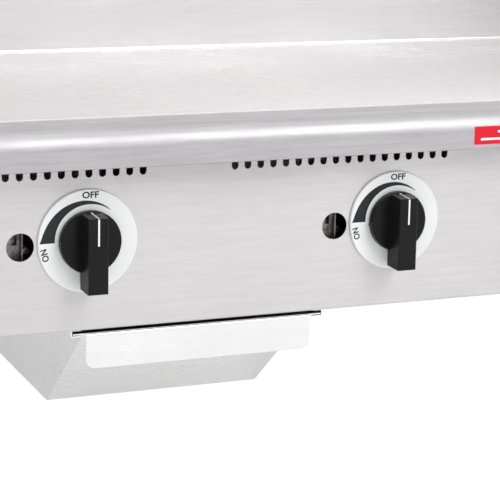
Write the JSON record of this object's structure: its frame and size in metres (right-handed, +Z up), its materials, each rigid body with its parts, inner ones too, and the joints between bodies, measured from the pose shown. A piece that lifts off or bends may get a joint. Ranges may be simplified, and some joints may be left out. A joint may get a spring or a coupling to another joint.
{
  "type": "flat top griddle",
  "caption": "Countertop gas griddle with a thick flat plate, splash guards, front grease trough, turning knobs, slide-out drip tray and levelling feet.",
  "frame": {"origin": "centre of the bounding box, on the counter under the feet", "axes": "+X to the cook's right along the front, +Y to the back, +Z up; the knobs face -Y"},
  "size_m": [1.219, 0.692, 0.387],
  "materials": {
    "brushed_stainless": "satin stainless sheet, brushed along its length",
    "polished_plate": "ground and polished steel plate",
    "galvanised_sheet": "dull zinc-coated sheet",
    "burner_steel": "dark heat-stained aluminised steel",
    "black_iron_pipe": "black iron pipe",
    "brass": "machined brass",
    "aluminium_tube": "plain drawn or cast aluminium",
    "bezel_white": "satin white dial plate",
    "knob_black": "satin black moulded knob"
  },
  "bodies": {
    "chassis": {"front_panel": "brushed_stainless", "left_side_panel": "brushed_stainless", "right_side_panel": "brushed_stainless", "back_panel": "brushed_stainless", "bottom_pan": "galvanised_sheet", "front_rail": "brushed_stainless", "grease_trough": "brushed_stainless", "grease_chute": "brushed_stainless", "griddle_plate": "polished_plate", "left_plate_rest": "galvanised_sheet", "right_plate_rest": "galvanised_sheet", "back_plate_rest": "galvanised_sheet", "left_splash_guard": "brushed_stainless", "right_splash_guard": "brushed_stainless", "back_splash_guard": "brushed_stainless", "flue_riser": "brushed_stainless", "firewall": "galvanised_sheet", "burner_rest": "burner_steel", "manifold_pipe": "black_iron_pipe", "gas_supply_pipe": "black_iron_pipe", "left_tray_rail": "galvanised_sheet", "right_tray_rail": "galvanised_sheet", "burner_1": "burner_steel", "valve_1": "aluminium_tube", "pilot_valve_1": "brass", "pilot_tube_1": "aluminium_tube", "bezel_1": "bezel_white", "burner_2": "burner_steel", "valve_2": "aluminium_tube", "pilot_valve_2": "brass", "pilot_tube_2": "aluminium_tube", "bezel_2": "bezel_white", "burner_3": "burner_steel", "valve_3": "aluminium_tube", "pilot_valve_3": "brass", "pilot_tube_3": "aluminium_tube", "bezel_3": "bezel_white", "burner_4": "burner_steel", "valve_4": "aluminium_tube", "pilot_valve_4": "brass", "pilot_tube_4": "aluminium_tube", "bezel_4": "bezel_white", "leg_front_left": "brushed_stainless", "leg_front_right": "brushed_stainless", "leg_back_left": "brushed_stainless", "leg_back_right": "brushed_stainless"},
    "knob_1_body": {"knob_1": "knob_black", "valve_stem_1": "brass"},
    "knob_2_body": {"knob_2": "knob_black", "valve_stem_2": "brass"},
    "knob_3_body": {"knob_3": "knob_black", "valve_stem_3": "brass"},
    "knob_4_body": {"knob_4": "knob_black", "valve_stem_4": "brass"},
    "tray": {"drip_tray": "brushed_stainless", "tray_handle": "brushed_stainless"},
    "foot_front_left_body": {"foot_front_left": "brushed_stainless"},
    "foot_front_right_body": {"foot_front_right": "brushed_stainless"},
    "foot_back_left_body": {"foot_back_left": "brushed_stainless"},
    "foot_back_right_body": {"foot_back_right": "brushed_stainless"}
  },
  "joints": [
    {"name": "knob_1_turn", "type": "hinge", "parent": "chassis", "child": "knob_1_body", "pos_m": [-0.40005, -0.314, 0.188], "axis": [0, -1, 0], "range_deg": [0, 90]},
    {"name": "knob_2_turn", "type": "hinge", "parent": "chassis", "child": "knob_2_body", "pos_m": [-0.09525, -0.314, 0.188], "axis": [0, -1, 0], "range_deg": [0, 90]},
    {"name": "knob_3_turn", "type": "hinge", "parent": "chassis", "child": "knob_3_body", "pos_m": [0.20955, -0.314, 0.188], "axis": [0, -1, 0], "range_deg": [0, 90]},
    {"name": "knob_4_turn", "type": "hinge", "parent": "chassis", "child": "knob_4_body", "pos_m": [0.51435, -0.314, 0.188], "axis": [0, -1, 0], "range_deg": [0, 90]},
    {"name": "tray_slide", "type": "slide", "parent": "chassis", "child": "tray", "axis": [0, -1, 0], "range_m": [0, 0.42]},
    {"name": "foot_front_left_screw", "type": "slide", "parent": "chassis", "child": "foot_front_left_body", "axis": [0, 0, -1], "range_m": [0, 0.03]},
    {"name": "foot_front_right_screw", "type": "slide", "parent": "chassis", "child": "foot_front_right_body", "axis": [0, 0, -1], "range_m": [0, 0.03]},
    {"name": "foot_back_left_screw", "type": "slide", "parent": "chassis", "child": "foot_back_left_body", "axis": [0, 0, -1], "range_m": [0, 0.03]},
    {"name": "foot_back_right_screw", "type": "slide", "parent": "chassis", "child": "foot_back_right_body", "axis": [0, 0, -1], "range_m": [0, 0.03]}
  ]
}
